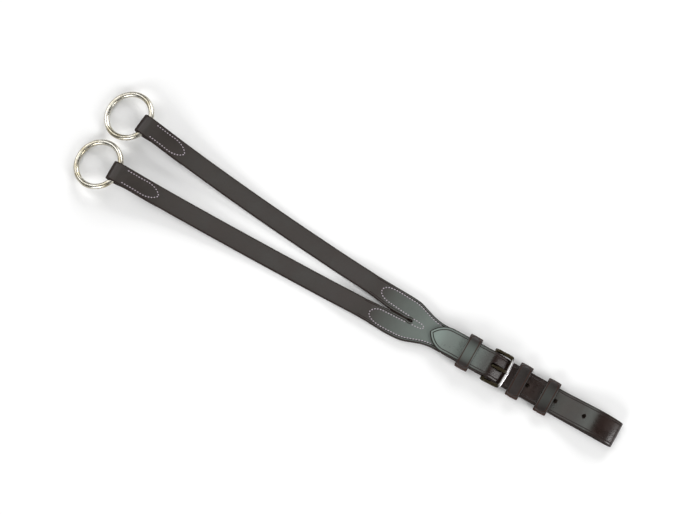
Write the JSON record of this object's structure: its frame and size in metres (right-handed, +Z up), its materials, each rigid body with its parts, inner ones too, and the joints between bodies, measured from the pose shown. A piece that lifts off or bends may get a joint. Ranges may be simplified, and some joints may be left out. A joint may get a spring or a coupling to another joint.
{
  "type": "running martingale attachment",
  "caption": "Forked leather strap with a ring at the end of each arm, for reins, and a buckled billet loop with keepers at the stem, for a girth or breastplate.",
  "frame": {"origin": "middle of the base of the whole part, on the surface it lies on", "axes": "+X along the stem towards the billet loop, +Y towards the far arm, +Z up off the surface"},
  "size_m": [0.5813, 0.1065, 0.0234],
  "materials": {
    "strap_leather": "dark brown bridle leather, matt waxed grain",
    "billet_leather": "dark brown bridle leather, polished, creased edge",
    "keeper_leather": "dark brown leather, polished, stained edges",
    "ring_metal": "polished stainless steel",
    "buckle_metal": "cast and nickel plated, dark with age but for the rubbed front bar",
    "thread": "pale waxed linen thread"
  },
  "bodies": {
    "stem": {"fork_strap": "strap_leather", "fork_lining": "strap_leather", "billet_strap": "billet_leather", "fixed_keeper": "keeper_leather", "near_tab_stitches": "thread", "far_tab_stitches": "thread", "crotch_stitches": "thread", "chape_stitches": "thread", "fixed_keeper_stitches": "thread"},
    "near_arm": {"near_arm_strap": "strap_leather", "near_eye_stitches": "thread"},
    "far_arm": {"far_arm_strap": "strap_leather", "far_eye_stitches": "thread"},
    "near_ring": {"near_ring": "ring_metal"},
    "far_ring": {"far_ring": "ring_metal"},
    "buckle_frame": {"buckle_frame": "buckle_metal"},
    "buckle_tongue": {"buckle_tongue": "buckle_metal"},
    "buckle_keeper": {"buckle_keeper": "keeper_leather", "buckle_keeper_stitches": "thread"},
    "loop_keeper": {"loop_keeper": "keeper_leather", "loop_keeper_stitches": "thread"}
  },
  "joints": [
    {"name": "near_arm_flex", "type": "hinge", "parent": "stem", "child": "near_arm", "pos_m": [0.02006, -0.02372, 0.00475], "axis": [0, 1, 0], "range_deg": [-4, 90]},
    {"name": "near_ring_swing", "type": "hinge", "parent": "near_arm", "child": "near_ring", "pos_m": [-0.24441, -0.02741, 0.0162], "axis": [-0.014, 0.9999, 0], "range_deg": [-30, 140]},
    {"name": "far_arm_flex", "type": "hinge", "parent": "stem", "child": "far_arm", "pos_m": [0.02006, 0.00098, 0.00475], "axis": [0, 1, 0], "range_deg": [-4, 90]},
    {"name": "far_ring_swing", "type": "hinge", "parent": "far_arm", "child": "far_ring", "pos_m": [-0.24326, 0.02587, 0.0162], "axis": [0.0941, 0.9956, 0], "range_deg": [-30, 140]},
    {"name": "buckle_frame_lift", "type": "hinge", "parent": "stem", "child": "buckle_frame", "pos_m": [0.15506, -0.01232, 0.0096], "axis": [0, -1, 0], "range_deg": [0, 8]},
    {"name": "buckle_tongue_lift", "type": "hinge", "parent": "buckle_frame", "child": "buckle_tongue", "pos_m": [0.15506, -0.01232, 0.0096], "axis": [0, -1, 0], "range_deg": [0, 8]},
    {"name": "buckle_keeper_slide", "type": "slide", "parent": "stem", "child": "buckle_keeper", "axis": [1, 0, 0], "range_m": [-0.0035, 0.008]},
    {"name": "loop_keeper_slide", "type": "slide", "parent": "stem", "child": "loop_keeper", "axis": [1, 0, 0], "range_m": [-0.008, 0.006]}
  ]
}
